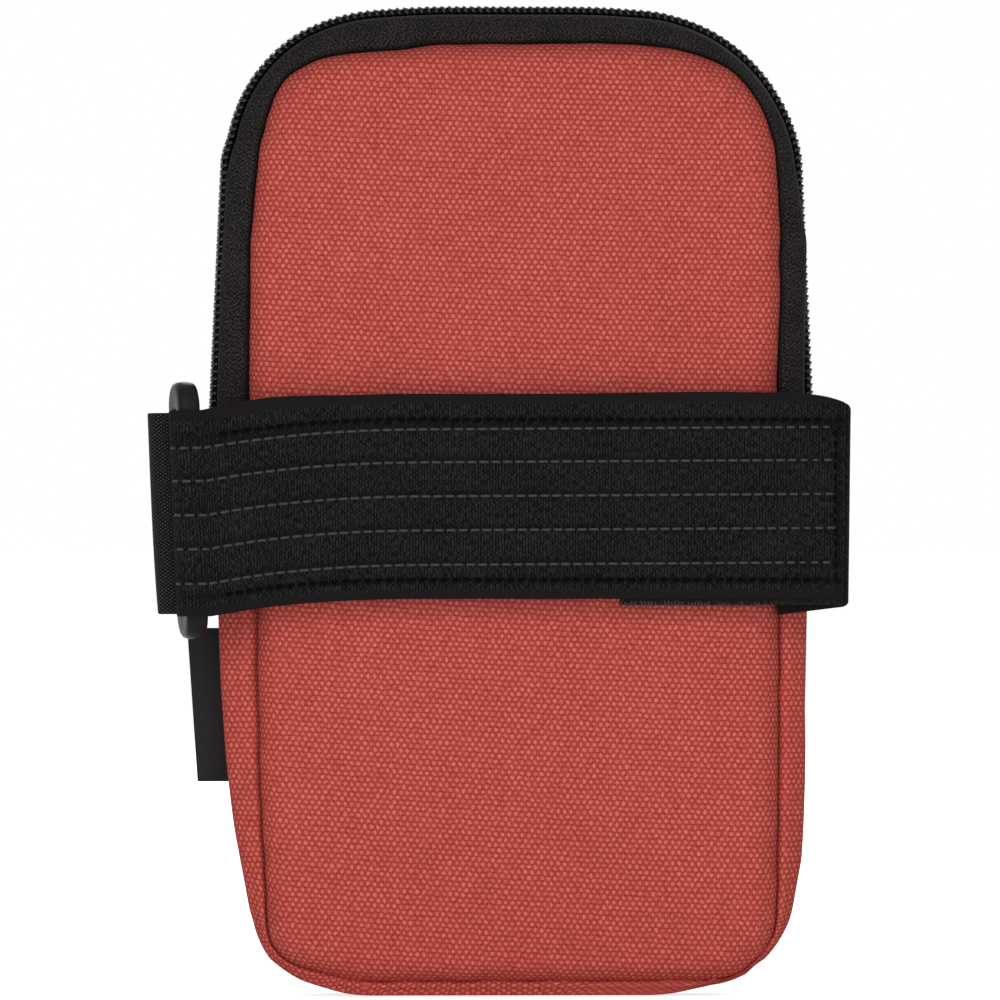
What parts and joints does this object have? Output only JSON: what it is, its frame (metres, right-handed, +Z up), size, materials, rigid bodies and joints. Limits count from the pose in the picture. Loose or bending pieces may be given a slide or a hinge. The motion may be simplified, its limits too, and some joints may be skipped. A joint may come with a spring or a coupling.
{
  "type": "bottle pouch",
  "caption": "Flat padded zip pouch in red canvas with a black elastic hook and loop strap and a plastic ring, for strapping to a bottle.",
  "frame": {"origin": "middle of the flat bottom of the gusset, on the surface that the pouch stands on", "axes": "+Z up along the pouch, -Y the strap side, +X to the right seen from the strap side"},
  "size_m": [0.1356, 0.0371, 0.1905],
  "materials": {
    "red_canvas": "coarse red plain-weave canvas, matt",
    "foam": "closed-cell foam padding, matt",
    "lining": "thin woven lining, matt",
    "zip_tape": "fine diagonal tape weave, matt",
    "zip_coil": "polished nylon coil",
    "slider_metal": "black enamel, satin",
    "elastic": "ribbed knitted elastic, matt",
    "loop_tape": "brushed loop pile",
    "hook_tape": "woven tape with fine hooks",
    "webbing": "plain-weave webbing, slight sheen",
    "ring_plastic": "moulded black plastic, soft gloss",
    "label": "woven satin label, bare"
  },
  "bodies": {
    "pouch": {"back_panel": "red_canvas", "back_foam": "foam", "back_lining": "lining", "front_panel_lower": "red_canvas", "front_foam_lower": "foam", "front_lining_lower": "lining", "gusset": "red_canvas", "gusset_lining": "lining", "seam_binding_back": "zip_tape", "seam_binding_front_lower": "zip_tape", "zip_tape_back": "zip_tape", "zip_tape_front_left": "zip_tape", "zip_tape_front_right": "zip_tape", "zip_teeth_back": "zip_coil", "zip_teeth_front_left": "zip_coil", "zip_teeth_front_right": "zip_coil", "strap": "elastic", "strap_loop_tape": "loop_tape", "ring_webbing": "webbing", "side_label": "label"},
    "front_flap": {"front_panel_upper": "red_canvas", "front_foam_upper": "foam", "front_lining_upper": "lining", "seam_binding_front_upper": "zip_tape", "zip_tape_front_upper": "zip_tape", "zip_teeth_front_upper": "zip_coil"},
    "zip_slider": {"slider_body": "slider_metal"},
    "zip_pull": {"pull_tab": "slider_metal"},
    "ring": {"ring": "ring_plastic"},
    "strap_tail": {"strap_tail": "elastic", "tail_loop_tape": "loop_tape", "hook_patch": "hook_tape"}
  },
  "joints": [
    {"name": "flap_fold", "type": "hinge", "parent": "pouch", "child": "front_flap", "pos_m": [0, 0.0135, 0.114], "axis": [-1, 0, 0], "range_deg": [0, 100]},
    {"name": "zip_slide", "type": "slide", "parent": "pouch", "child": "zip_slider", "axis": [-0.0385, 0, 0.9993], "range_m": [0, 0.044], "deforming": ["zip_teeth_back", "zip_teeth_front_right", "zip_teeth_front_left", "zip_teeth_front_upper"]},
    {"name": "pull_hinge", "type": "hinge", "parent": "zip_slider", "child": "zip_pull", "pos_m": [0.06082, 0, 0.10328], "axis": [0, -1, 0], "range_deg": [0, 175]},
    {"name": "ring_swing", "type": "hinge", "parent": "pouch", "child": "ring", "pos_m": [-0.0629, -0.01164, 0.0932], "axis": [-0.0401, 0, 0.9992], "range_deg": [-1, 12]},
    {"name": "tail_peel", "type": "hinge", "parent": "pouch", "child": "strap_tail", "pos_m": [-0.06105, -0.0236, 0.0927], "axis": [0.0401, 0, -0.9992], "range_deg": [0, 170]}
  ]
}
